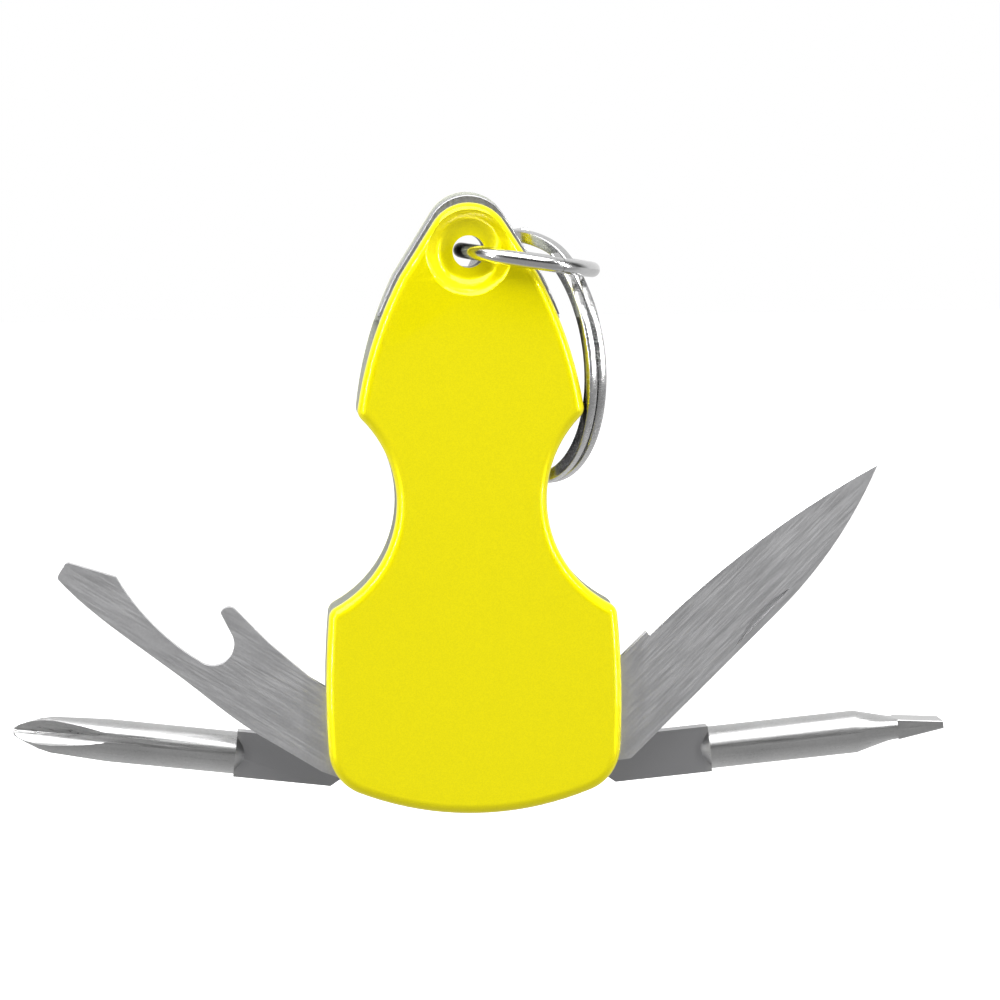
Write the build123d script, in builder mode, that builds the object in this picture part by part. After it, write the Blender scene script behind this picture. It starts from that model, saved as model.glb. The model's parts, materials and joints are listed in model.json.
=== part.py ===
"""Key-chain folding multi-tool: a violin-shaped handle of two pressed aluminium covers, with a
knife blade and a bottle opener in its front layer, two screwdrivers in its back layer, and a
jump ring that carries a two-turn split ring through the hole in its nose.

Millimetres. +Z runs up the handle to the nose, +X to the knife's side, and the front faces -Y.
The origin is the middle of the handle, where the fingers hold it.
"""
import os
from math import asin, atan2, cos, degrees, hypot, pi, radians, sin, sqrt

from build123d import *

os.makedirs("parts", exist_ok=True)

# ---------------------------------------------------------------- driving dimensions
# handle outline, seen from the front
handle_length = 57.0
belly_half_width = 13.8        # widest, just above the pivots
waist_half_width = 7.0
shoulder_half_width = 10.6
nose_radius = 3.9
tail_sagitta = 2.1             # rise of the tail's long arc out to its corners
tail_corner_x = 10.9
tail_corner_height = 6.2       # where the corner's curve meets the side
tail_corner_inset = 0.15       # of that place, inside the widest
corner_share_across = 0.7      # how squarely the corner's curve turns
corner_share_up = 0.38
belly_height = 11.5
foot_height = 19.2             # lower corner of the waist notch
foot_half_width = 13.4
waist_height = 29.0
shoulder_drop = 19.6           # upper corner of the waist notch, below the nose
flank_drop = 12.7              # a point on each flank, below the nose
flank_half_width = 9.0
flank_top_drop = 6.7           # where the flank's curve meets the nose's straight run
flank_top_half_width = 6.4
notch_corner_radius = 1.2
block_swell = 0.7              # the nose block stands out of the front cover's nose
back_swell = 0.95              # and the back cover's nose stands out of both
flank_top_share = 0.6          # of a swell, where the flanks meet the nose
flank_share = 0.3              # and half-way down them
match_tolerance = 0.01

# the stack, from the front cover to the back cover
cover_sheet = 1.0
liner_thickness = 0.5
divider_thickness = 0.4
opener_thickness = 1.5
knife_thickness = 1.2
shank_diameter = 4.0
tang_thickness = 2.3
running_gap = 0.05             # beside each face of a tool that turns
shank_gap = 0.2                # beside a driver's round shank

# covers
edge_round = 1.0
cover_wall_depth = 2.6         # deep wall round the nose and under the tail
liner_fit = 0.05               # liner inside the covers' lip
nose_wall_drop = 11.0          # the deep wall starts this far below the nose
tail_wall_half_width = 5.2
tail_wall_height = 8.0
dish_radius = 4.1
dish_floor_radius = 2.2
dish_depth = 1.35
dish_lip_angle = 25.0
ring_hole_drop = 4.55          # hole centre, below the nose
ring_hole_radius = 1.5

# frame pieces between the liners
divider_inset = 0.6
nose_block_drop = 10.5         # bottom of the nose block's head
nose_block_gap = 0.05          # to the covers' walls
tongue_half_width = 2.4
tongue_length = 6.5
tongue_gap = 0.1
tail_spacer_half_width = 4.5
tail_spacer_top = 4.2
rivet_radius = 0.8
nose_rivet_drop = 14.0
spring_rivet_heights = (24.0, 35.0)
tail_rivet_height = 2.7

# springs
spring_half_width = 2.0
spring_slot_half_width = 0.5
spring_slot_top = 20.0
spring_arm_bottom = 5.2
spring_arm_top = 7.2
spring_tang_gap = 0.1

# pivots
pivot_x = 10.5
pivot_height = 5.4
pivot_radius = 1.1
pivot_clearance = 0.05
washer_radius = 2.0
heel_radius = 2.8
heel_share = 0.85              # of the heel's radius, where a tang's side runs into it

# how far each tool stands open, and how far the folded ones lean inwards
folded_lean = 6.0
knife_angle = 44.2             # above level, in the pose that is modelled
opener_angle = 31.4
phillips_angle = 6.6
slotted_angle = 5.3

# tools, measured from their pivots and from their tips; the outer side is the one that faces
# out of the handle when the tool is folded
knife_tip_gap = 2.3            # folded tip to the nose block
knife_back = 3.3               # pivot line to the back of the blade
knife_edge = 4.15              # pivot line to the cutting edge
knife_tip_rise = 0.2
knife_straight_back = 22.0
knife_straight_edge = 12.0
ricasso_start = 6.5
knife_bevel = 0.5
knife_edge_thickness = 0.3
nick_start = 17.1
nick_length = 7.2
nick_offset = 2.75
nick_width = 0.6
nick_fall = 0.25
nick_depth = 0.35

opener_tip_gap = 8.3
opener_tip_width = 1.7
opener_tip_round = 0.4
opener_back = 3.1
opener_side = 3.9
opener_tang_side = (5.4, 8.0)  # the straight run of its inner side
opener_back_start = 9.0        # where the back starts to curve down to the tip
opener_back_middle = (17.5, 2.25)
opener_back_end_slope = -0.32
opener_tip_shoulder = (4.7, 2.85)        # from the tip, and inside the pivot line
mouth_start = 15.4            # inner end of the bottle mouth
mouth_ceiling = (2.3, 0.0)     # the rest of the mouth is measured from that end
mouth_end_middle = 1.8
mouth_ramp_middle = (23.6, -0.87)
hook_inside = (1.1, -3.8)
hook_tip = (2.85, -4.9)
hook_nose = (2.7, -5.55)
hook_back = (1.75, -5.85)
hook_root = (13.0, -4.75)

phillips_tip_gap = 8.6
slotted_tip_gap = 7.4
driver_offset = 1.25           # shank's axis, outside the pivot
tang_width = 4.3
tang_length = 11.8
tang_heel_start = 2.6
shank_shoulder = 0.9
flute_length = 9.2
flute_radius = 1.5
flute_web = 0.42               # half of the web left between the flutes at the tip
flute_tilt = 12.0              # the flutes' turn about the shank
flute_count = 4
# the turned nose, as (distance from the tip, radius)
phillips_nose = [(3.6, 2.0), (2.4, 1.75), (1.3, 1.3), (0.5, 0.85), (0.12, 0.5), (0.0, 0.3)]
slotted_flat_length = 8.2
slotted_mid_length = 3.9
slotted_mid_thickness = 1.9
slotted_corner_radius = 0.75
slotted_tip_corner = 0.12
slotted_tip_thickness = 0.7
slotted_tip_width = 4.3

# rings
jump_radius = 6.22             # middle of the wire
jump_wire_radius = 0.72
jump_hole_offset = 0.6         # wire's middle at mid-thickness, behind the hole's axis
jump_droop = 9.1               # the ring's plane falls this far below level
jump_contact_angle = 92.6      # where the split ring hangs, round the jump ring from its far end
split_outer_radius = 12.2
split_radial = 1.2
split_axial = 0.9
split_coil_gap = 0.1
split_seat_gap = 0.89          # above the jump ring's wire, where the two cross at an angle
split_turned = 61.7            # split ring's plane, turned from the handle's face
split_lean = 4.9               # held off plumb by the handle's back edge
crossover_angle = 72.0         # where the wire steps from one coil to the other, round from level
crossover_half_angle = 17.0
crossover_sections = 5

# ---------------------------------------------------------------- derived places
tail_z = -handle_length / 2
nose_z = handle_length / 2
pivot_z = tail_z + pivot_height
hole_z = nose_z - ring_hole_drop
nose_block_z = nose_z - nose_block_drop
tongue_z = nose_block_z - tongue_length
frame_top_z = tongue_z - tongue_gap
nose_wall_z = nose_z - nose_wall_drop

front_room = opener_thickness + 2 * running_gap
back_room = shank_diameter + 2 * shank_gap
body_thickness = 2 * (cover_sheet + liner_thickness) + front_room + divider_thickness + back_room
face_y = body_thickness / 2
cover_inner_y = face_y - cover_sheet
liner_inner_y = cover_inner_y - liner_thickness
divider_front_y = -liner_inner_y + front_room
divider_back_y = divider_front_y + divider_thickness
wall_end_y = face_y - cover_wall_depth
dish_floor_y = face_y - dish_depth
boss_y = dish_floor_y - cover_sheet

opener_y = (-liner_inner_y + divider_front_y) / 2
knife_y = -liner_inner_y + running_gap + knife_thickness / 2
driver_y = (divider_back_y + liner_inner_y) / 2
knife_washer_thickness = front_room - knife_thickness - 2 * running_gap
driver_washer_thickness = (back_room - tang_thickness) / 2 - running_gap
tool_bore_radius = pivot_radius + pivot_clearance
heel_shoulder = (heel_radius * sqrt(0.5), -heel_radius * sqrt(0.5))

folded_room = (nose_block_z - pivot_z) / cos(radians(folded_lean))
knife_length = folded_room - knife_tip_gap
opener_length = folded_room - opener_tip_gap
phillips_length = folded_room - phillips_tip_gap
slotted_length = folded_room - slotted_tip_gap


# ---------------------------------------------------------------- shared shapes
def level(y):
    """Sketch plane across the handle at depth y: its x is +X, its y is +Z, it faces the front."""
    return Plane.XZ.offset(-y)


def handle_profile(inset=0.0, swell=0.0):
    """The handle's violin outline, its nose swollen outwards, and all of it drawn in by an inset."""
    tail_corner = (tail_corner_x, tail_z + tail_sagitta)
    side_start = (belly_half_width - tail_corner_inset, tail_z + tail_corner_height)
    foot = (foot_half_width, tail_z + foot_height)
    shoulder = (shoulder_half_width, nose_z - shoulder_drop)
    flank = (flank_half_width + swell * flank_share, nose_z - flank_drop)
    flank_top = (flank_top_half_width + swell * flank_top_share, nose_z - flank_top_drop)
    top_z = nose_z + swell
    nose_centre_z = top_z - nose_radius
    lean = atan2(flank_top[1] - nose_centre_z, flank_top[0])
    reach = hypot(flank_top[0], flank_top[1] - nose_centre_z)
    tangent = lean + asin(sqrt(1 - (nose_radius / reach) ** 2))
    nose_start = (nose_radius * cos(tangent), nose_centre_z + nose_radius * sin(tangent))
    corner_middle = (tail_corner[0] + (side_start[0] - tail_corner[0]) * corner_share_across,
                     tail_corner[1] + (side_start[1] - tail_corner[1]) * corner_share_up)
    with BuildSketch(mode=Mode.PRIVATE) as profile:
        with BuildLine():
            ThreePointArc((-tail_corner[0], tail_corner[1]), (0, tail_z), tail_corner)
            ThreePointArc(tail_corner, corner_middle, side_start)
            ThreePointArc(side_start, (belly_half_width, tail_z + belly_height), foot)
            ThreePointArc(foot, (waist_half_width, tail_z + waist_height), shoulder)
            ThreePointArc(shoulder, flank, flank_top)
            Line(flank_top, nose_start)
            ThreePointArc(nose_start, (0, top_z), (-nose_start[0], nose_start[1]))
            Line((-nose_start[0], nose_start[1]), (-flank_top[0], flank_top[1]))
            ThreePointArc((-flank_top[0], flank_top[1]), (-flank[0], flank[1]),
                          (-shoulder[0], shoulder[1]))
            ThreePointArc((-shoulder[0], shoulder[1]), (-waist_half_width, tail_z + waist_height),
                          (-foot[0], foot[1]))
            ThreePointArc((-foot[0], foot[1]), (-belly_half_width, tail_z + belly_height),
                          (-side_start[0], side_start[1]))
            ThreePointArc((-side_start[0], side_start[1]), (-corner_middle[0], corner_middle[1]),
                          (-tail_corner[0], tail_corner[1]))
        make_face()
        notch_corners = profile.vertices().filter_by(
            lambda v: any(abs(v.Y - point[1]) < match_tolerance for point in (foot, shoulder)))
        fillet(notch_corners, notch_corner_radius)
        if inset:
            offset(amount=-inset)
            split(bisect_by=Plane.YZ)
            mirror(about=Plane.YZ)
    return profile.sketch


def tool_plane(side, angle, y, along=0.0, outwards=0.0):
    """Plane of a tool at depth y: x runs from the pivot to the tip, y to the tool's outer side.
    side is +1 for the right pivot and -1 for the left; angle is above level."""
    tip = Vector(side * cos(radians(angle)), 0, sin(radians(angle)))
    outer = Vector(side * sin(radians(angle)), 0, -cos(radians(angle)))
    start = Vector(side * pivot_x, y, pivot_z) + tip * along + outer * outwards
    return Plane(origin=start, x_dir=tip, z_dir=tip.cross(outer))


def across_plane(side, angle, y, along, outwards):
    """Plane square to a tool's length: x runs through the handle's depth."""
    flat = tool_plane(side, angle, y, along, outwards)
    return Plane(origin=flat.origin, x_dir=(0, 1, 0), z_dir=flat.x_dir)


def finish(piece, label):
    """Name a finished piece and write it."""
    piece.part.label = label
    export_step(piece.part, f"parts/{label}.step")
    print(f"{label}: {len(piece.solids())} solid(s), {piece.part.volume:.2f} mm3")


# ---------------------------------------------------------------- covers
def pressed_cover(swell):
    """A front cover: a pressed shell with a dished ring hole, its nose swollen outwards."""
    with BuildPart() as cover:
        with BuildSketch(level(-face_y)):
            add(handle_profile(swell=swell))
        extrude(amount=-cover_wall_depth)
        fillet(cover.faces().sort_by(Axis.Y)[0].edges(), edge_round)
        # pocket for the liner, with the deep wall left round it
        with BuildSketch(level(-cover_inner_y)):
            add(handle_profile(cover_sheet, swell))
        extrude(amount=-cover_wall_depth, mode=Mode.SUBTRACT)
        # the long mouths that the tools fold into, on both sides
        with BuildSketch(level(-liner_inner_y)) as mouths:
            Rectangle(2 * handle_length, 2 * handle_length)
            with BuildSketch(mode=Mode.PRIVATE) as nose_part:
                with Locations((0, nose_wall_z + handle_length)):
                    Rectangle(2 * handle_length, 2 * handle_length)
            with BuildSketch(mode=Mode.PRIVATE) as tail_part:
                with Locations((0, tail_z)):
                    Rectangle(2 * tail_wall_half_width, 2 * tail_wall_height)
            add(nose_part.sketch, mode=Mode.SUBTRACT)
            add(tail_part.sketch, mode=Mode.SUBTRACT)
        extrude(amount=-cover_wall_depth, mode=Mode.SUBTRACT)
        # dish pressed in round the ring hole, with its boss behind
        ring_axis = Axis((0, 0, hole_z), (0, 1, 0))
        with BuildSketch(Plane.XY.offset(hole_z)):
            with BuildLine():
                sheet_middle_y = -cover_inner_y - cover_sheet / 2
                Polyline((0, sheet_middle_y), (dish_radius, sheet_middle_y),
                         (dish_floor_radius + cover_sheet, -boss_y), (0, -boss_y), close=True)
            make_face()
        revolve(axis=ring_axis)
        with BuildSketch(Plane.XY.offset(hole_z)):
            with BuildLine():
                lip = (dish_radius, -face_y)
                floor_edge = (dish_floor_radius, -dish_floor_y)
                Spline(lip, floor_edge, tangents=[
                    (-cos(radians(dish_lip_angle)), sin(radians(dish_lip_angle))), (-1, 0)])
                Polyline(floor_edge, (0, -dish_floor_y), (0, -face_y - cover_sheet),
                         (dish_radius, -face_y - cover_sheet), lip)
            make_face()
        revolve(axis=ring_axis, mode=Mode.SUBTRACT)
        with BuildSketch(level(-face_y)):
            with Locations((0, hole_z)):
                Circle(ring_hole_radius)
        extrude(amount=-face_y, mode=Mode.SUBTRACT)
    return cover


front_cover = pressed_cover(0.0)
finish(front_cover, "front_cover")

with BuildPart() as back_cover:
    add(mirror(pressed_cover(back_swell).part, about=Plane.XZ))
finish(back_cover, "back_cover")


# ---------------------------------------------------------------- liners, divider and spacers
def frame_plate(front_y, thickness, inset):
    """A plate between the covers, cut off below the nose block's tongue and bored for the pins."""
    with BuildPart() as plate:
        with BuildSketch(level(front_y)):
            add(handle_profile(inset))
            with Locations((0, frame_top_z + handle_length)):
                Rectangle(2 * tongue_half_width + 2 * tongue_gap, 2 * handle_length, mode=Mode.SUBTRACT)
            with Locations((0, nose_block_z - tongue_gap + handle_length)):
                Rectangle(2 * handle_length, 2 * handle_length, mode=Mode.SUBTRACT)
            with Locations((pivot_x, pivot_z), (-pivot_x, pivot_z)):
                Circle(pivot_radius, mode=Mode.SUBTRACT)
            rivet_places = [(0, tail_z + height) for height in (*spring_rivet_heights, tail_rivet_height)]
            with Locations(*rivet_places):
                Circle(rivet_radius, mode=Mode.SUBTRACT)
        extrude(amount=-thickness)
    return plate


divider_plate = frame_plate(divider_front_y, divider_thickness, divider_inset)
finish(divider_plate, "divider_plate")


def liner(front_y):
    """A steel liner: its tongue end runs up over the nose block's tongue, where a rivet holds it."""
    with BuildPart() as plate:
        with BuildSketch(level(front_y)):
            add(handle_profile(cover_sheet + liner_fit))
            with Locations((0, nose_block_z - tongue_gap + handle_length)):
                Rectangle(2 * handle_length, 2 * handle_length, mode=Mode.SUBTRACT)
            with Locations((pivot_x, pivot_z), (-pivot_x, pivot_z)):
                Circle(pivot_radius, mode=Mode.SUBTRACT)
            rivet_places = [(0, tail_z + height) for height in (*spring_rivet_heights, tail_rivet_height)]
            with Locations((0, nose_z - nose_rivet_drop), *rivet_places):
                Circle(rivet_radius, mode=Mode.SUBTRACT)
        extrude(amount=-liner_thickness)
    return plate


front_liner = liner(-cover_inner_y)
finish(front_liner, "front_liner")
back_liner = liner(liner_inner_y)
finish(back_liner, "back_liner")

with BuildPart() as nose_block:
    for half_depth, inset, swell in ((wall_end_y - nose_block_gap, 0.0, block_swell),
                                     (boss_y, cover_sheet + liner_fit, 0.0)):
        with BuildSketch(level(-half_depth)):
            add(handle_profile(inset, swell))
            with Locations((0, nose_block_z - handle_length)):
                Rectangle(2 * handle_length, 2 * handle_length, mode=Mode.SUBTRACT)
        extrude(amount=-2 * half_depth)
    with BuildSketch(level(-liner_inner_y)):
        with Locations((0, (tongue_z + nose_block_z) / 2)):
            Rectangle(2 * tongue_half_width, nose_block_z - tongue_z)
    extrude(amount=-2 * liner_inner_y)
    with BuildSketch(level(-face_y)):
        with Locations((0, hole_z)):
            Circle(ring_hole_radius)
        with Locations((0, nose_z - nose_rivet_drop)):
            Circle(rivet_radius)
    extrude(amount=-body_thickness, mode=Mode.SUBTRACT)
finish(nose_block, "nose_block")


def tail_spacer(front_y, thickness):
    """A block between the plates over the middle of the tail, shaped to the tail's arc."""
    with BuildPart() as spacer:
        with BuildSketch(level(front_y)):
            add(handle_profile(cover_sheet + liner_fit))
            with Locations((0, tail_z)):
                Rectangle(2 * tail_spacer_half_width, 2 * tail_spacer_top, mode=Mode.INTERSECT)
            with Locations((0, tail_z + tail_rivet_height)):
                Circle(rivet_radius, mode=Mode.SUBTRACT)
        extrude(amount=-thickness)
    return spacer


front_tail_spacer = tail_spacer(-liner_inner_y, front_room)
finish(front_tail_spacer, "front_tail_spacer")
back_tail_spacer = tail_spacer(divider_back_y, back_room)
finish(back_tail_spacer, "back_tail_spacer")


# ---------------------------------------------------------------- springs
def wishbone_spring(front_y, thickness):
    """A leaf spring: a riveted stem, two legs and two arms that bear on the tools' heels."""
    with BuildPart() as spring:
        with BuildSketch(level(front_y)):
            with Locations((0, (tail_z + spring_arm_bottom + frame_top_z) / 2)):
                Rectangle(2 * spring_half_width, frame_top_z - tail_z - spring_arm_bottom)
            with Locations((0, tail_z + (spring_arm_bottom + spring_arm_top) / 2)):
                Rectangle(2 * pivot_x, spring_arm_top - spring_arm_bottom)
            with Locations((0, tail_z + spring_slot_top / 2)):
                SlotOverall(spring_slot_top, 2 * spring_slot_half_width, rotation=90, mode=Mode.SUBTRACT)
            with Locations((pivot_x, pivot_z), (-pivot_x, pivot_z)):
                Circle(heel_radius + spring_tang_gap, mode=Mode.SUBTRACT)
            with Locations(*[(0, tail_z + height) for height in spring_rivet_heights]):
                Circle(rivet_radius, mode=Mode.SUBTRACT)
        extrude(amount=-thickness)
    return spring


front_spring = wishbone_spring(-liner_inner_y, front_room)
finish(front_spring, "front_spring")
back_spring = wishbone_spring(driver_y - tang_thickness / 2 - running_gap, tang_thickness + 2 * running_gap)
finish(back_spring, "back_spring")


# ---------------------------------------------------------------- pins, rivets and washers
def pins(places, radius):
    """Round pins through the handle from liner to liner, one at each place."""
    with BuildPart() as group:
        with BuildSketch(level(-cover_inner_y)):
            with Locations(*places):
                Circle(radius)
        extrude(amount=-2 * cover_inner_y)
    return group


for pin_label, pin_side in (("left_pivot_pin", -1), ("right_pivot_pin", 1)):
    finish(pins([(pin_side * pivot_x, pivot_z)], pivot_radius), pin_label)
frame_rivet_places = [(0, tail_z + height) for height in (*spring_rivet_heights, tail_rivet_height)]
frame_rivet_places.append((0, nose_z - nose_rivet_drop))
finish(pins(frame_rivet_places, rivet_radius), "frame_rivets")


def washers(places, bore, front_ys, thickness):
    """Washers of one size at each place and depth."""
    with BuildPart() as group:
        for front_y in front_ys:
            with BuildSketch(level(front_y)):
                with Locations(*places):
                    Circle(washer_radius)
                    Circle(bore, mode=Mode.SUBTRACT)
            extrude(amount=-thickness)
    return group


washer_depths = (divider_back_y, liner_inner_y - driver_washer_thickness)
finish(washers([(pivot_x, pivot_z), (-pivot_x, pivot_z)], pivot_radius, washer_depths,
               driver_washer_thickness), "driver_washers")
finish(washers([(0, tail_z + height) for height in spring_rivet_heights], rivet_radius, washer_depths,
               driver_washer_thickness), "spring_washers")
finish(washers([(pivot_x, pivot_z)], pivot_radius, (divider_front_y - knife_washer_thickness,),
               knife_washer_thickness), "knife_washer")

# ---------------------------------------------------------------- knife blade
knife_tip = (knife_length, -knife_tip_rise)
knife_flat = tool_plane(1, knife_angle, knife_y)
edge_run = knife_length - knife_straight_edge
edge_rise = knife_edge - knife_tip_rise
edge_arc_radius = (edge_run ** 2 + edge_rise ** 2) / (2 * edge_rise)
edge_arc_angle = degrees(atan2(edge_run, edge_arc_radius - edge_rise))
grind_centre = knife_flat.from_local_coords((knife_straight_edge, edge_arc_radius - knife_edge, 0))
with BuildPart() as knife_blade:
    with BuildSketch(knife_flat):
        with BuildLine():
            Polyline((0, -heel_radius), heel_shoulder, (ricasso_start, -knife_edge),
                     (knife_straight_edge, -knife_edge))
            TangentArc((knife_straight_edge, -knife_edge), knife_tip, tangent=(1, 0))
            TangentArc((knife_straight_back, knife_back), knife_tip, tangent=(1, 0))
            Polyline((knife_straight_back, knife_back), (tang_heel_start, knife_back),
                     (heel_radius / 2, heel_radius * heel_share), (0, heel_radius * heel_share),
                     (0, -heel_radius))
        make_face()
        Circle(heel_radius)
        Circle(tool_bore_radius, mode=Mode.SUBTRACT)
    extrude(amount=knife_thickness / 2, both=True)
    # the nail nick, in the front face near the back
    with BuildSketch(tool_plane(1, knife_angle, knife_y - knife_thickness / 2)):
        with BuildLine():
            nick_ends = [(nick_start, nick_offset), (nick_start + nick_length, nick_offset - nick_fall)]
            nick_belly = (nick_start + nick_length / 2, nick_offset - nick_fall / 2 - nick_width)
            ThreePointArc(nick_ends[0], nick_belly, nick_ends[1])
            Line(nick_ends[1], nick_ends[0])
        make_face()
    extrude(amount=nick_depth, mode=Mode.SUBTRACT)
    # the ground bevels, turned about the centre of the cutting edge's arc
    with BuildSketch(Plane(origin=grind_centre, x_dir=-knife_flat.y_dir, z_dir=-knife_flat.x_dir)):
        with BuildLine():
            Polyline((edge_arc_radius - knife_bevel, knife_thickness / 2),
                     (edge_arc_radius, knife_edge_thickness / 2),
                     (edge_arc_radius + knife_bevel, knife_edge_thickness / 2),
                     (edge_arc_radius + knife_bevel, knife_thickness),
                     (edge_arc_radius - knife_bevel, knife_thickness), close=True)
        make_face()
        mirror(about=Plane.XZ)
    revolve(axis=Axis(grind_centre, knife_flat.z_dir), revolution_arc=edge_arc_angle, mode=Mode.SUBTRACT)
finish(knife_blade, "knife_blade")

# ---------------------------------------------------------------- bottle opener
with BuildPart() as bottle_opener:
    with BuildSketch(tool_plane(-1, opener_angle, opener_y)) as opener_outline:
        with BuildLine():
            back_start = (opener_back_start, opener_back)
            tip_back = (opener_length, 0)
            tip_shoulder = (opener_length - opener_tip_shoulder[0], -opener_tip_shoulder[1])
            ceiling, inside, tip, nose, back = [
                (mouth_start + along, outwards)
                for along, outwards in (mouth_ceiling, hook_inside, hook_tip, hook_nose, hook_back)]
            Polyline((0, opener_back * heel_share), (tang_heel_start, opener_back), back_start)
            Spline(back_start, opener_back_middle, tip_back, tangents=[(1, 0), (1, opener_back_end_slope)])
            Polyline(tip_back, (opener_length, -opener_tip_width), tip_shoulder)
            ThreePointArc(tip_shoulder, mouth_ramp_middle, ceiling)
            ThreePointArc(ceiling, (mouth_start, -mouth_end_middle), inside)
            Line(inside, tip)
            ThreePointArc(tip, nose, back)
            Polyline(back, hook_root, (opener_tang_side[1], -opener_side),
                     (opener_tang_side[0], -opener_side), heel_shoulder, (0, -heel_radius),
                     (0, opener_back * heel_share))
        make_face()
        fillet(opener_outline.vertices().filter_by(lambda v: v.X > opener_length - match_tolerance),
               opener_tip_round)
        Circle(heel_radius)
        Circle(tool_bore_radius, mode=Mode.SUBTRACT)
    extrude(amount=opener_thickness / 2, both=True)
finish(bottle_opener, "bottle_opener")


# ---------------------------------------------------------------- screwdrivers
def driver_blank(side, angle, shank_outline):
    """A driver's flat tang and turned shank. shank_outline lists (distance from pivot, radius)."""
    flat = tool_plane(side, angle, driver_y)
    inner_side = driver_offset - tang_width / 2
    outer_side = driver_offset + tang_width / 2
    shank_start = (tang_length - shank_shoulder, shank_diameter / 2 - shank_shoulder)
    turned = [shank_start, (tang_length, shank_diameter / 2), *shank_outline]
    with BuildPart() as blank:
        with BuildSketch(flat):
            with BuildLine():
                Polyline((0, inner_side), (tang_length, inner_side), (tang_length, outer_side),
                         (tang_heel_start, outer_side),
                         (heel_radius / 2, heel_radius * heel_share), (0, heel_radius * heel_share),
                         (0, inner_side))
            make_face()
            Circle(heel_radius)
            Circle(tool_bore_radius, mode=Mode.SUBTRACT)
        extrude(amount=tang_thickness / 2, both=True)
        with BuildSketch(flat):
            with BuildLine():
                Polyline((turned[0][0], driver_offset),
                         *[(along, driver_offset + radius) for along, radius in turned],
                         (turned[-1][0], driver_offset), close=True)
            make_face()
        revolve(axis=Axis(flat.from_local_coords((0, driver_offset, 0)), flat.x_dir))
    return blank


with BuildPart() as phillips_driver:
    phillips_outline = [(phillips_length - along, radius) for along, radius in phillips_nose]
    add(driver_blank(-1, phillips_angle, phillips_outline).part)
    # round-bottomed flutes that start as points on the shank and deepen towards the tip
    start_reach = shank_diameter / 2 + flute_radius
    end_reach = flute_web + flute_radius
    fall = atan2(start_reach - end_reach, flute_length)
    for flute in range(flute_count):
        flute_turn = radians(360 * flute / flute_count + flute_tilt)
        flat = tool_plane(-1, phillips_angle, driver_y, phillips_length - flute_length, driver_offset)
        away = flat.y_dir * cos(flute_turn) + flat.z_dir * sin(flute_turn)
        start = flat.origin + away * start_reach
        direction = flat.x_dir * cos(fall) - away * sin(fall)
        with BuildSketch(Plane(origin=start, x_dir=away, z_dir=direction)):
            Circle(flute_radius)
        extrude(amount=flute_length + shank_diameter, mode=Mode.SUBTRACT)
finish(phillips_driver, "phillips_driver")

with BuildPart() as slotted_driver:
    flat_start = slotted_length - slotted_flat_length
    add(driver_blank(1, slotted_angle, [(flat_start, shank_diameter / 2)]).part)
    with BuildSketch(across_plane(1, slotted_angle, driver_y, flat_start, driver_offset)):
        Circle(shank_diameter / 2)
    flat_middle = across_plane(1, slotted_angle, driver_y, flat_start + slotted_mid_length, driver_offset)
    with BuildSketch(flat_middle):
        RectangleRounded(slotted_tip_width, slotted_mid_thickness, slotted_corner_radius)
    loft()
    with BuildSketch(flat_middle):
        RectangleRounded(slotted_tip_width, slotted_mid_thickness, slotted_tip_corner)
    with BuildSketch(across_plane(1, slotted_angle, driver_y, slotted_length, driver_offset)):
        RectangleRounded(slotted_tip_width, slotted_tip_thickness, slotted_tip_corner)
    loft()
finish(slotted_driver, "slotted_driver")

# ---------------------------------------------------------------- rings
droop = Vector(cos(radians(jump_droop)), 0, -sin(radians(jump_droop)))
jump_centre = Vector(0, 0, hole_z) + droop * (jump_radius - jump_hole_offset)
with BuildPart(Plane(origin=jump_centre, x_dir=droop, z_dir=droop.cross(Vector(0, 1, 0)))) as jump_ring:
    Torus(jump_radius, jump_wire_radius)
finish(jump_ring, "jump_ring")

turned = radians(split_turned)
lean = radians(split_lean)
split_level = Vector(cos(turned), -sin(turned), 0)
split_away = Vector(sin(turned), cos(turned), 0)
split_down = Vector(0, 0, -cos(lean)) + split_away * sin(lean)
contact = droop * cos(radians(jump_contact_angle)) + Vector(0, sin(radians(jump_contact_angle)), 0)
split_seat = jump_centre + contact * jump_radius + Vector(0, 0, jump_wire_radius + split_seat_gap)
split_centre = split_seat + split_down * (split_outer_radius - split_radial)
split_plane = Plane(origin=split_centre, x_dir=split_level, z_dir=split_level.cross(-split_down))
coil_middle = split_outer_radius - split_radial / 2
coil_step = (split_axial + split_coil_gap) / 2
first_angle = crossover_angle + crossover_half_angle
coil_arc = 360 - 2 * crossover_half_angle


def wire_section(angle, height):
    """The wire's section, square to the ring at an angle and a height along its axis."""
    outwards = split_plane.x_dir * cos(radians(angle)) + split_plane.y_dir * sin(radians(angle))
    square_plane = Plane(origin=split_centre, x_dir=outwards, z_dir=outwards.cross(split_plane.z_dir))
    with BuildSketch(square_plane, mode=Mode.PRIVATE) as section:
        with Locations((coil_middle, height)):
            Rectangle(split_radial, split_axial)
    return section.sketch


crossover_shares = [step / (crossover_sections - 1) for step in range(crossover_sections)]
with BuildPart() as split_ring:
    for coil_height in (-coil_step, coil_step):
        revolve(wire_section(first_angle, coil_height), axis=Axis(split_centre, split_plane.z_dir),
                revolution_arc=coil_arc)
    loft([wire_section(first_angle - 2 * crossover_half_angle * (1 - share), -coil_step * cos(pi * share))
          for share in crossover_shares])
finish(split_ring, "split_ring")
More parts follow.
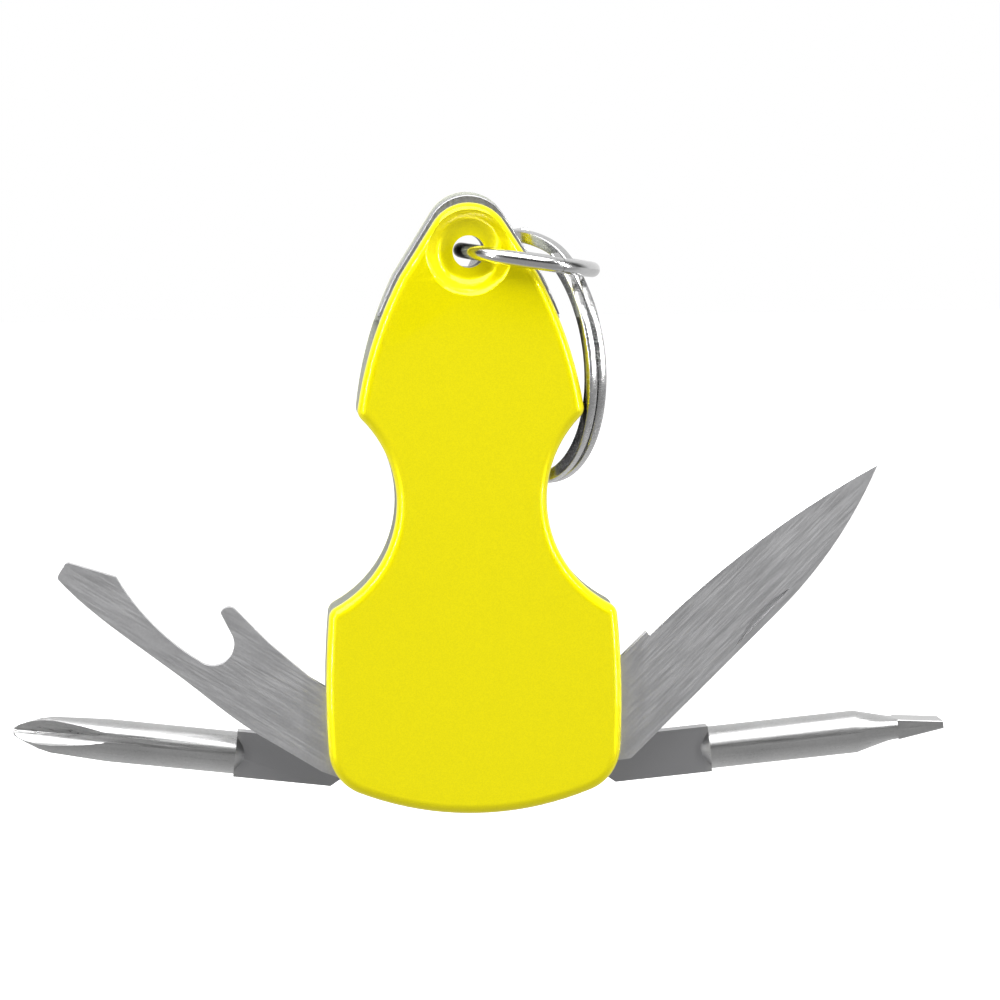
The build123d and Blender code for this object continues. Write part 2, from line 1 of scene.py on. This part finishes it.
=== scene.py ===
# %% [markdown]
# # A folding key-chain multi-tool
#
# The real object is a small pocket tool that hangs on a bunch of keys. Two pressed aluminium
# covers, anodised yellow, hold a stack of steel plates. A knife and a bottle opener turn in the
# front layer, two screwdrivers turn in the back layer, and a round wire ring through the nose
# carries a flat two-turn key ring.
#
# The design comes in as a frame of exact nodes in metres. This lesson gives each node the finish
# of the real metal, and works out the two rings again as wire that was really bent.

# %% Load the frame
import json
import math

import bmesh
import bpy
import numpy as np
from mathutils import Matrix, Vector


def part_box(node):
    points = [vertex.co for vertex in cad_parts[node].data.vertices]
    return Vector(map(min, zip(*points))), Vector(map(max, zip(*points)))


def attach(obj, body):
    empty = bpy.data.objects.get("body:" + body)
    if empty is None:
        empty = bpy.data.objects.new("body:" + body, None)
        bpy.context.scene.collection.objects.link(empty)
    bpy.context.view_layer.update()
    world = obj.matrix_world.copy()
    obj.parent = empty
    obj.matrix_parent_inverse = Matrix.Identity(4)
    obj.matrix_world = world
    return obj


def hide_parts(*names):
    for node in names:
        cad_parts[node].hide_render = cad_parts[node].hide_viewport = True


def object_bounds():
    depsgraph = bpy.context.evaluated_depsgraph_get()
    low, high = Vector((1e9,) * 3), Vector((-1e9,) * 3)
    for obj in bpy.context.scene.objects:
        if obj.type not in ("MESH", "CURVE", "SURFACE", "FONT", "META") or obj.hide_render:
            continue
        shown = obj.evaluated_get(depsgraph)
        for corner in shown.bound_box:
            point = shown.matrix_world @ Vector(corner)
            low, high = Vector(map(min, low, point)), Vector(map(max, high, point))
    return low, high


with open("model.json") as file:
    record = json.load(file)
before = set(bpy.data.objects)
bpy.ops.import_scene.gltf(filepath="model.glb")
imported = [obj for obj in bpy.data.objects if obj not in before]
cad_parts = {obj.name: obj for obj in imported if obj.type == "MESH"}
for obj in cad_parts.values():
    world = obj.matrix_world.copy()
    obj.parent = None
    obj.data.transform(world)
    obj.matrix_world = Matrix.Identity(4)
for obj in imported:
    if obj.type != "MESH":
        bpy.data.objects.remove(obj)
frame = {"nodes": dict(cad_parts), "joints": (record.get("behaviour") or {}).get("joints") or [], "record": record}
cad_low, cad_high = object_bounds()
nodes = frame["nodes"]
joints = {joint["name"]: joint for joint in frame["joints"]}
MM = 0.001

# %% [markdown]
# ## Helpers for finishes
#
# A metal finish is a base colour, a roughness that changes a little from place to place, and
# fine marks left by the tool that made the surface. A small set of node helpers keeps each
# finish short. Every pattern reads Object coordinates, so it is at real scale in metres and
# rides with its piece.

# %% Node helpers
def new_finish(name, metallic, specular=0.5):
    """A material with an empty principled surface, ready for its patterns."""
    finish = bpy.data.materials.new(name)
    finish.use_nodes = True
    surface = finish.node_tree.nodes["Principled BSDF"]
    surface.inputs["Metallic"].default_value = metallic
    surface.inputs["Specular IOR Level"].default_value = specular
    return finish, finish.node_tree, surface


def place_pattern(tree, stretch, turn_y=0.0):
    """Object coordinates, turned about Y and stretched, for a pattern with a direction."""
    where = tree.nodes.new("ShaderNodeTexCoord")
    turned = tree.nodes.new("ShaderNodeMapping")
    turned.vector_type = "TEXTURE"
    turned.inputs["Rotation"].default_value = (0, turn_y, 0)
    tree.links.new(where.outputs["Object"], turned.inputs["Vector"])
    stretched = tree.nodes.new("ShaderNodeMapping")
    stretched.inputs["Scale"].default_value = stretch
    tree.links.new(turned.outputs["Vector"], stretched.inputs["Vector"])
    return stretched.outputs["Vector"]


def noise(tree, vector, scale, detail=4.0, rough=0.5):
    """Noise in the range 0 to 1 at a number of grains per metre."""
    grains = tree.nodes.new("ShaderNodeTexNoise")
    grains.inputs["Scale"].default_value = scale
    grains.inputs["Detail"].default_value = detail
    grains.inputs["Roughness"].default_value = rough
    tree.links.new(vector, grains.inputs["Vector"])
    return grains.outputs["Fac"]


def map_range(tree, value, start, end, low=0.0, high=1.0):
    """Maps start..end to low..high, held at its ends."""
    band = tree.nodes.new("ShaderNodeMapRange")
    for socket, number in (("From Min", start), ("From Max", end), ("To Min", low), ("To Max", high)):
        band.inputs[socket].default_value = number
    tree.links.new(value, band.inputs["Value"])
    return band.outputs["Result"]


def spread(tree, value, low, high, width=0.3):
    """Maps a noise value to low..high, over a band round its middle, which is a half."""
    return map_range(tree, value, 0.5 - width / 2, 0.5 + width / 2, low, high)


def between(tree, share, first, second):
    """A colour between two, by a share. Each is a colour or a socket that carries one."""
    mixed = tree.nodes.new("ShaderNodeMix")
    mixed.data_type = "RGBA"
    for socket, colour in (("A", first), ("B", second)):
        if isinstance(colour, tuple):
            mixed.inputs[socket].default_value = (*colour, 1)
        else:
            tree.links.new(colour, mixed.inputs[socket])
    tree.links.new(share, mixed.inputs["Factor"])
    return mixed.outputs["Result"]


def component(tree, vector, axis):
    """One component of a vector, by its letter."""
    apart = tree.nodes.new("ShaderNodeSeparateXYZ")
    tree.links.new(vector, apart.inputs["Vector"])
    return apart.outputs[axis]


def bump(tree, surface, height, distance, strength=1.0):
    """Adds surface relief of a real height in metres to the principled surface."""
    relief = tree.nodes.new("ShaderNodeBump")
    relief.inputs["Distance"].default_value = distance
    relief.inputs["Strength"].default_value = strength
    tree.links.new(height, relief.inputs["Height"])
    if surface.inputs["Normal"].is_linked:
        tree.links.new(surface.inputs["Normal"].links[0].from_socket, relief.inputs["Normal"])
    tree.links.new(relief.outputs["Normal"], surface.inputs["Normal"])


# %% [markdown]
# ## Yellow anodised aluminium
#
# The covers are blasted, dyed and sealed aluminium. The dye makes the metal read as a strong
# flat yellow, the blasting leaves a grain of about a tenth of a millimetre, and the seal gives
# an even sheen. So the surface is half metallic, has two close yellows mixed by a fine noise,
# and carries a very shallow fine bump under a thin clear coat. Below the rounded edge the walls
# of the covers are painted a pale grey-green instead of yellow. This is a painted reflection of
# the white surroundings in the glossy wall, not bare metal.

# %% Yellow finish
ROUND_DEPTH = 3.25 * MM      # from the tool's middle to where the rounding starts; nearer the middle the wall gets the painted reflection
WALL_REFLECTION_FADE = 0.05 * MM
YELLOWS = (0.76, 0.68, 0.0), (0.83, 0.74, 0.0)
# pale grey-green painted into the walls: a painted reflection of the white surroundings, not a colour of the metal
PAINTED_WALL_REFLECTION = (0.60, 0.62, 0.54)
BLAST_SCALE, BLAST_HEIGHT = 9000, 0.006 * MM


def anodised_yellow():
    """Blasted and dyed aluminium with a sealed surface, and a painted reflection on its walls."""
    finish, tree, surface = new_finish("anodised_yellow", metallic=0.5, specular=0.1)
    even = place_pattern(tree, (1, 1, 1))
    grain = noise(tree, even, BLAST_SCALE, detail=2)
    tint = between(tree, spread(tree, grain, 0.0, 1.0), *YELLOWS)
    depth = tree.nodes.new("ShaderNodeMath")
    depth.operation = "ABSOLUTE"
    tree.links.new(component(tree, even, "Y"), depth.inputs[0])
    # walls nearer the middle than the rounding take the painted reflection colour instead of the yellow
    painted_reflection_share = map_range(tree, depth.outputs["Value"], ROUND_DEPTH + WALL_REFLECTION_FADE, ROUND_DEPTH)
    tree.links.new(between(tree, painted_reflection_share, tint, PAINTED_WALL_REFLECTION), surface.inputs["Base Color"])
    tree.links.new(spread(tree, grain, 0.28, 0.38), surface.inputs["Roughness"])
    bump(tree, surface, grain, BLAST_HEIGHT, 0.5)
    surface.inputs["Coat Weight"].default_value = 0.3
    surface.inputs["Coat Roughness"].default_value = 0.06
    surface.inputs["Coat IOR"].default_value = 1.7
    return finish


yellow = anodised_yellow()

# %% [markdown]
# ## Steels
#
# The blades are stamped from strip and tumbled, then drawn over a belt, so their faces carry
# fine lines along the blade, soft cloudy patches and a fine speckle. The frame plates are plain
# strip that nobody polishes, and the wires are drawn smooth. One function makes all of them: the
# lines are noise stretched along the piece's own length, turned by its lean. The drivers are
# round bar, turned and polished, and a second function turns their flat tangs matte.

# %% Steel finishes
LINE_STRETCH = 0.035          # lines are about thirty times as long as they are wide
CLOUD_SCALE, SPECK_SCALE, SPECK_SHARE = 210, 4200, 0.4
TANG_ROUGHNESS, TANG_GREY = (0.40, 0.40, 0.40), (0.42, 0.42, 0.43)
PIVOT_X, PIVOT_Z = 10.5 * MM, -23.1 * MM
TANG_LENGTH, TANG_BLEND = 11.6 * MM, 0.5 * MM


def drawn_steel(name, dark, light, rough, lean=0.0, line_height=0.0015 * MM, lines=5200,
                ripple=0.01 * MM):
    """Steel with lines along a direction that leans from +X up towards +Z, in radians."""
    finish, tree, surface = new_finish(name, metallic=1.0)
    along = place_pattern(tree, (LINE_STRETCH, 1, 1), turn_y=-lean)
    even = place_pattern(tree, (1, 1, 1))
    line = noise(tree, along, lines, detail=5, rough=0.6)
    cloud = noise(tree, even, CLOUD_SCALE, detail=3)
    speck = tree.nodes.new("ShaderNodeMix")
    speck.inputs["Factor"].default_value = SPECK_SHARE
    tree.links.new(cloud, speck.inputs["A"])
    tree.links.new(noise(tree, even, SPECK_SCALE, detail=2), speck.inputs["B"])
    share = spread(tree, speck.outputs["Result"], 0, 1, width=0.24)
    tree.links.new(between(tree, share, dark, light), surface.inputs["Base Color"])
    tree.links.new(spread(tree, line, rough * 0.85, rough * 1.2), surface.inputs["Roughness"])
    bump(tree, surface, line, line_height, 0.3)
    bump(tree, surface, cloud, ripple, 0.25)
    return finish


def driver_steel(name, lean, pivot_x):
    """Polished round steel, with a matte tang up to a step at a distance from its pivot."""
    finish = drawn_steel(name, (0.46, 0.46, 0.46), (0.53, 0.53, 0.53), 0.32, lean,
                         line_height=0.0003 * MM, ripple=0.002 * MM)
    tree = finish.node_tree
    surface = tree.nodes["Principled BSDF"]
    side = math.copysign(1, pivot_x)
    step = pivot_x * math.cos(lean) + PIVOT_Z * math.sin(lean) + side * TANG_LENGTH
    along = component(tree, place_pattern(tree, (1, 1, 1), turn_y=-lean), "X")
    polished = map_range(tree, along, step - side * TANG_BLEND, step)
    for socket, matte in (("Roughness", TANG_ROUGHNESS), ("Base Color", TANG_GREY)):
        shank = surface.inputs[socket].links[0].from_socket
        tree.links.new(between(tree, polished, matte, shank), surface.inputs[socket])
    return finish


knife_lean, opener_lean = math.radians(44.2), math.radians(-31.4)
phillips_lean, slotted_lean = math.radians(-6.6), math.radians(5.3)
knife_steel = drawn_steel("knife_steel", (0.57, 0.57, 0.58), (0.63, 0.63, 0.64), 0.40, knife_lean,
                          lines=9000)
opener_steel = drawn_steel("opener_steel", (0.60, 0.60, 0.61), (0.68, 0.68, 0.69), 0.38,
                           opener_lean, lines=9000)
phillips_steel = driver_steel("phillips_steel", phillips_lean, -PIVOT_X)
slotted_steel = driver_steel("slotted_steel", slotted_lean, PIVOT_X)
frame_steel = drawn_steel("frame_steel", (0.30, 0.30, 0.31), (0.38, 0.38, 0.39), 0.36,
                          math.radians(90))
pin_steel = drawn_steel("pin_steel", (0.45, 0.45, 0.46), (0.52, 0.52, 0.53), 0.28)
bright_wire = drawn_steel("bright_wire", (0.58, 0.58, 0.58), (0.64, 0.64, 0.64), 0.16,
                          line_height=0.0001 * MM, ripple=0.0005 * MM)
ring_wire = drawn_steel("ring_wire", (0.50, 0.50, 0.50), (0.58, 0.58, 0.58), 0.24,
                        line_height=0.0001 * MM, ripple=0.0005 * MM)
print("finishes:", len(bpy.data.materials))

# %% [markdown]
# ## Carry the design's nodes over
#
# The covers, plates and tools have the right shape in the design already, but they arrive
# as loose flat triangles, and a flat triangle shows on every polished rounding. Each one is
# copied, its corners merged, its sharp edges marked, and its normals weighted by face area, so
# that flats stay flat and roundings shade as roundings. The pins keep the design's own mesh and
# only get a finish. The stamped steel is tumbled, so its corners are eased by about a tenth of
# a millimetre.

# %% Smooth copies of nodes
SHARP, SHARP_BEVEL, EASED = math.radians(32), math.radians(9), math.radians(50)
EASED_STEPS = 3
SAME_POINT = 0.001 * MM
edge_of = {"bottle_opener": 0.16 * MM, "knife_blade": 0.08 * MM, "phillips_driver": 0.08 * MM,
           "slotted_driver": 0.12 * MM, "nose_block": 0.10 * MM}


def smooth_copy(node_name, finish, body):
    """A merged, smooth-shaded copy of a node that stands for it."""
    source = nodes[node_name]
    mesh = source.data.copy()
    piece = bpy.data.objects.new(node_name + "_surface", mesh)
    bpy.context.scene.collection.objects.link(piece)
    if "custom_normal" in mesh.attributes:
        mesh.attributes.remove(mesh.attributes["custom_normal"])
    welded = bmesh.new()
    welded.from_mesh(mesh)
    bmesh.ops.remove_doubles(welded, verts=welded.verts, dist=SAME_POINT)
    welded.to_mesh(mesh)
    welded.free()
    mesh.shade_smooth()
    mesh.set_sharp_from_angle(angle=SHARP_BEVEL if node_name == "knife_blade" else SHARP)
    if node_name in edge_of:
        eased = piece.modifiers.new("eased", "BEVEL")
        eased.width = edge_of[node_name]
        eased.segments = EASED_STEPS
        eased.limit_method = "ANGLE"
        eased.angle_limit = EASED
    weighted = piece.modifiers.new("weighted", "WEIGHTED_NORMAL")
    weighted.keep_sharp = True
    mesh.materials.clear()
    mesh.materials.append(finish)
    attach(piece, body)
    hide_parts(node_name)
    return piece


finish_of = {
    "front_cover": yellow, "back_cover": yellow, "knife_blade": knife_steel,
    "bottle_opener": opener_steel, "phillips_driver": phillips_steel,
    "slotted_driver": slotted_steel, "front_liner": frame_steel, "back_liner": frame_steel,
    "divider_plate": frame_steel, "nose_block": frame_steel, "front_spring": frame_steel,
    "back_spring": frame_steel, "front_tail_spacer": frame_steel, "back_tail_spacer": frame_steel,
}
body_of = {member: body for body, members in frame["record"]["behaviour"]["bodies"].items()
           for member in members}
for node_name, finish in finish_of.items():
    piece = smooth_copy(node_name, finish, body_of[node_name])
    print(piece.name, "vertices:", len(piece.data.vertices))

for node_name in ("left_pivot_pin", "right_pivot_pin", "frame_rivets", "driver_washers",
                  "spring_washers", "knife_washer"):
    nodes[node_name].data.materials.clear()
    nodes[node_name].data.materials.append(pin_steel)

# %% [markdown]
# ## Wire rings
#
# Both rings are bent wire. A wire is a section carried along a path, so one function takes the
# path's points and its frame at each of them, and a section outline, and returns the whole
# surface as one grid with its two cut ends closed. The jump ring's path is a circle whose ends
# meet at a butt joint. The key ring's path is a flat spiral of two turns that steps over from
# one turn to the other near its top.

# %% Carry a section along a path
def wire_surface(name, path, outward, upward, section, finish):
    """Point (i, j) is path[i] + outward[i] * section[j, 0] + upward[i] * section[j, 1]. The
    section closes on itself, and each cut end is closed by a fan round its middle."""
    rows, columns = len(path), len(section)
    points = (path[:, None, :] + outward[:, None, :] * section[None, :, :1]
              + upward[:, None, :] * section[None, :, 1:])
    i, j = np.meshgrid(np.arange(rows - 1), np.arange(columns), indexing="ij")
    after = (j + 1) % columns
    quads = np.stack([i * columns + j, (i + 1) * columns + j, (i + 1) * columns + after,
                      i * columns + after], axis=-1).reshape(-1, 4)
    first, last = rows * columns, rows * columns + 1
    k = np.arange(columns)
    start_cap = np.stack([np.full(columns, first), k, (k + 1) % columns], axis=-1)
    row = (rows - 1) * columns
    end_cap = np.stack([np.full(columns, last), row + (k + 1) % columns, row + k], axis=-1)
    vertices = np.concatenate([points.reshape(-1, 3), path[:1], path[-1:]])
    mesh = bpy.data.meshes.new(name)
    mesh.from_pydata(vertices.tolist(), [], quads.tolist() + start_cap.tolist() + end_cap.tolist())
    mesh.update()
    mesh.shade_smooth()
    mesh.set_sharp_from_angle(angle=EASED)
    piece = bpy.data.objects.new(name, mesh)
    bpy.context.scene.collection.objects.link(piece)
    mesh.materials.append(finish)
    return piece


def unit(vector):
    """A vector of length one along another."""
    vector = np.asarray(vector, float)
    return vector / np.linalg.norm(vector)


# %% Jump ring
jump_low, jump_high = (np.array(corner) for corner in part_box("jump_ring"))
jump_centre = (jump_low + jump_high) / 2
wire_radius = 0.72 * MM
wire_steps, wire_sides = 193, 28
jump_radius = (jump_high[1] - jump_low[1]) / 2 - wire_radius
droop = math.radians(9.1)
far_end = np.array([math.cos(droop), 0, -math.sin(droop)])
sideways = np.array([0.0, 1.0, 0.0])
ring_normal = np.cross(far_end, sideways)
joint_place = math.radians(-62)
joint_gap = 0.05 * MM / jump_radius
turn = np.linspace(joint_place + joint_gap / 2, joint_place + 2 * math.pi - joint_gap / 2,
                   wire_steps)
outward = np.cos(turn)[:, None] * far_end + np.sin(turn)[:, None] * sideways
round_angle = np.linspace(0, 2 * math.pi, wire_sides, endpoint=False)
round_section = wire_radius * np.stack([np.cos(round_angle), np.sin(round_angle)], axis=-1)
jump_ring = wire_surface("jump_ring_wire", jump_centre + jump_radius * outward, outward,
                         np.broadcast_to(ring_normal, outward.shape), round_section, bright_wire)
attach(jump_ring, "jump")
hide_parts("jump_ring")
print("jump ring radius (mm):", jump_radius / MM)

# %% Key ring
split_joint = joints["split_ring_turn"]
split_centre = np.array(split_joint["pos_m"])
split_normal = unit(split_joint["axis"])
split_up = unit(np.array([0, 0, 1]) - split_normal * split_normal[2])
split_level = np.cross(split_up, split_normal)
coil_middle = 11.6 * MM
coil_half_step = 0.5 * MM
flat_half, flat_depth, flat_round = 0.6 * MM, 0.45 * MM, 0.22 * MM
step_middle, step_half = math.radians(72), math.radians(17)
coil_steps, corner_steps = 420, 5
turn = np.linspace(0, 4 * math.pi - 2 * step_half, coil_steps)
rise = np.clip((turn - (2 * math.pi - 2 * step_half)) / (2 * step_half), 0, 1)
height = coil_half_step * -np.cos(math.pi * rise)
angle = turn + step_middle + step_half
outward = np.cos(angle)[:, None] * split_level + np.sin(angle)[:, None] * split_up
path = split_centre + coil_middle * outward + height[:, None] * split_normal
corner = np.linspace(0, math.pi / 2, corner_steps)
corners = [(1, 1, 0), (-1, 1, 1), (-1, -1, 2), (1, -1, 3)]
flat_section = np.concatenate([
    np.stack([side * (flat_half - flat_round) + flat_round * np.cos(corner + quarter * math.pi / 2),
              top * (flat_depth - flat_round) + flat_round * np.sin(corner + quarter * math.pi / 2)],
             axis=-1)
    for side, top, quarter in corners])
split_ring = wire_surface("key_ring_wire", path, outward,
                          np.broadcast_to(split_normal, outward.shape), flat_section, ring_wire)
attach(split_ring, "split")
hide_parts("split_ring")
print("key ring outer diameter (mm):", 2 * (coil_middle + flat_half) / MM)

# %% [markdown]
# ## Floor, light and world
#
# The tool hangs above a plain pale floor that runs into a pale background. Polished steel shows
# what is around it, so what the tool sees is white behind and above, dark in front and grey below.
# Two tall narrow lights beside the tool draw the thin lines of light along the covers' rounded
# edges, and a large one above and in front lights the faces.

# %% Floor
floor_z = cad_low.z - 45 * MM      # below the tools when they are turned right down
reach = 3.0
floor_mesh = bpy.data.meshes.new("floor")
floor_mesh.from_pydata([(-reach, -reach, floor_z), (reach, -reach, floor_z), (reach, reach, floor_z),
                        (-reach, reach, floor_z)], [], [(0, 1, 2, 3)])
floor = bpy.data.objects.new("floor", floor_mesh)
bpy.context.scene.collection.objects.link(floor)
floor_finish, floor_tree, floor_surface = new_finish("pale_floor", metallic=0.0, specular=0.1)
floor_surface.inputs["Base Color"].default_value = (0.92, 0.92, 0.92, 1)
floor_surface.inputs["Roughness"].default_value = 0.9
floor_surface.inputs["Emission Color"].default_value = (1, 1, 1, 1)
floor_surface.inputs["Emission Strength"].default_value = 0.55
# the tool sees a floor that is pale behind it and grey in front, as under a white sweep
FRONT_EDGE, BACK_EDGE, FRONT_GREY, BACK_GREY = -50 * MM, 30 * MM, 0.40, 0.75
floor_place = floor_tree.nodes.new("ShaderNodeTexCoord")
floor_depth = component(floor_tree, floor_place.outputs["Object"], "Y")
seen_floor = floor_tree.nodes.new("ShaderNodeEmission")
floor_tree.links.new(map_range(floor_tree, floor_depth, FRONT_EDGE, BACK_EDGE, FRONT_GREY, BACK_GREY),
                     seen_floor.inputs["Strength"])
looked_at = floor_tree.nodes.new("ShaderNodeLightPath")
either = floor_tree.nodes.new("ShaderNodeMixShader")
floor_tree.links.new(looked_at.outputs["Is Camera Ray"], either.inputs["Fac"])
floor_tree.links.new(seen_floor.outputs["Emission"], either.inputs[1])
floor_tree.links.new(floor_surface.outputs["BSDF"], either.inputs[2])
floor_tree.links.new(either.outputs["Shader"], floor_tree.nodes["Material Output"].inputs["Surface"])
floor_mesh.materials.append(floor_finish)
print("floor height (mm):", round(floor_z / MM, 1))

# %% World
DARK, BRIGHT, SWEEP = (0.06, 0.06, 0.06), (0.6, 0.6, 0.6), (0.95, 0.95, 0.95)
DARK_TO, BRIGHT_FROM = 0.76, 0.88           # height of a direction, from 0 down to 1 up
SWEEP_STARTS, SWEEP_FULL = 0.05, 0.45       # depth of a direction
world = bpy.data.worlds.new("studio")
bpy.context.scene.world = world
world.use_nodes = True
tree = world.node_tree
direction = tree.nodes.new("ShaderNodeTexCoord").outputs["Generated"]
up_share = map_range(tree, component(tree, direction, "Z"), -1, 1)
overhead = between(tree, map_range(tree, up_share, DARK_TO, BRIGHT_FROM), DARK, BRIGHT)
behind = map_range(tree, component(tree, direction, "Y"), SWEEP_STARTS, SWEEP_FULL)
around = between(tree, behind, overhead, SWEEP)
looked_at = tree.nodes.new("ShaderNodeLightPath")
shown = between(tree, looked_at.outputs["Is Camera Ray"], around, (1, 1, 1))
tree.links.new(shown, tree.nodes["Background"].inputs["Color"])
print("world nodes:", len(tree.nodes))


# %% Lights
def soft_light(name, place, power, width, height):
    """A rectangular soft light that faces the tool."""
    lamp = bpy.data.lights.new(name, "AREA")
    lamp.shape = "RECTANGLE"
    lamp.size, lamp.size_y = width, height
    lamp.energy = power
    holder = bpy.data.objects.new(name, lamp)
    holder.location = place
    holder.rotation_euler = (-Vector(place)).to_track_quat("-Z", "Y").to_euler()
    bpy.context.scene.collection.objects.link(holder)


soft_light("front_key", (-0.06, -0.26, 0.48), power=7.6, width=0.90, height=0.50)
for name, side in (("left_strip", -1), ("right_strip", 1)):
    soft_light(name, (0.40 * side, -0.22, 0.05), power=2.4, width=0.02, height=0.5)
print("lights:", len(bpy.data.lights))

# %% [markdown]
# ## Camera
#
# A product shot of a small thing is taken with a long lens from half a metre away, a little
# above the tool and a little to its left. The frame is shifted so that the tool sits left of
# the middle, as it does in a catalogue picture.

# %% Camera
azimuth, elevation, roll = math.radians(-2.5), math.radians(4.0), math.radians(-0.675)
distance, sensor, focal_length = 0.45, 36.0, 172.5786
shift_right, shift_up = 0.0298, 0.0064      # shares of the image's width
back = np.array([math.sin(azimuth) * math.cos(elevation), -math.cos(azimuth) * math.cos(elevation),
                 math.sin(elevation)])
level_right = np.array([math.cos(azimuth), math.sin(azimuth), 0])
level_up = np.cross(back, level_right)
right = level_right * math.cos(roll) + level_up * math.sin(roll)
up = level_up * math.cos(roll) - level_right * math.sin(roll)
lens = bpy.data.cameras.new("camera")
lens.sensor_width = sensor
lens.lens = focal_length
lens.shift_x, lens.shift_y = shift_right, shift_up
lens.clip_start, lens.clip_end = 0.01, 20
camera = bpy.data.objects.new("camera", lens)
placed = Matrix.Identity(4)
for column, axis in enumerate((right, up, back)):
    for row in range(3):
        placed[row][column] = axis[row]
placed.translation = Vector(back * distance)
camera.matrix_world = placed
bpy.context.scene.collection.objects.link(camera)
bpy.context.scene.camera = camera
bpy.context.scene.view_settings.view_transform = "Standard"
print("lens (mm):", round(lens.lens, 1))
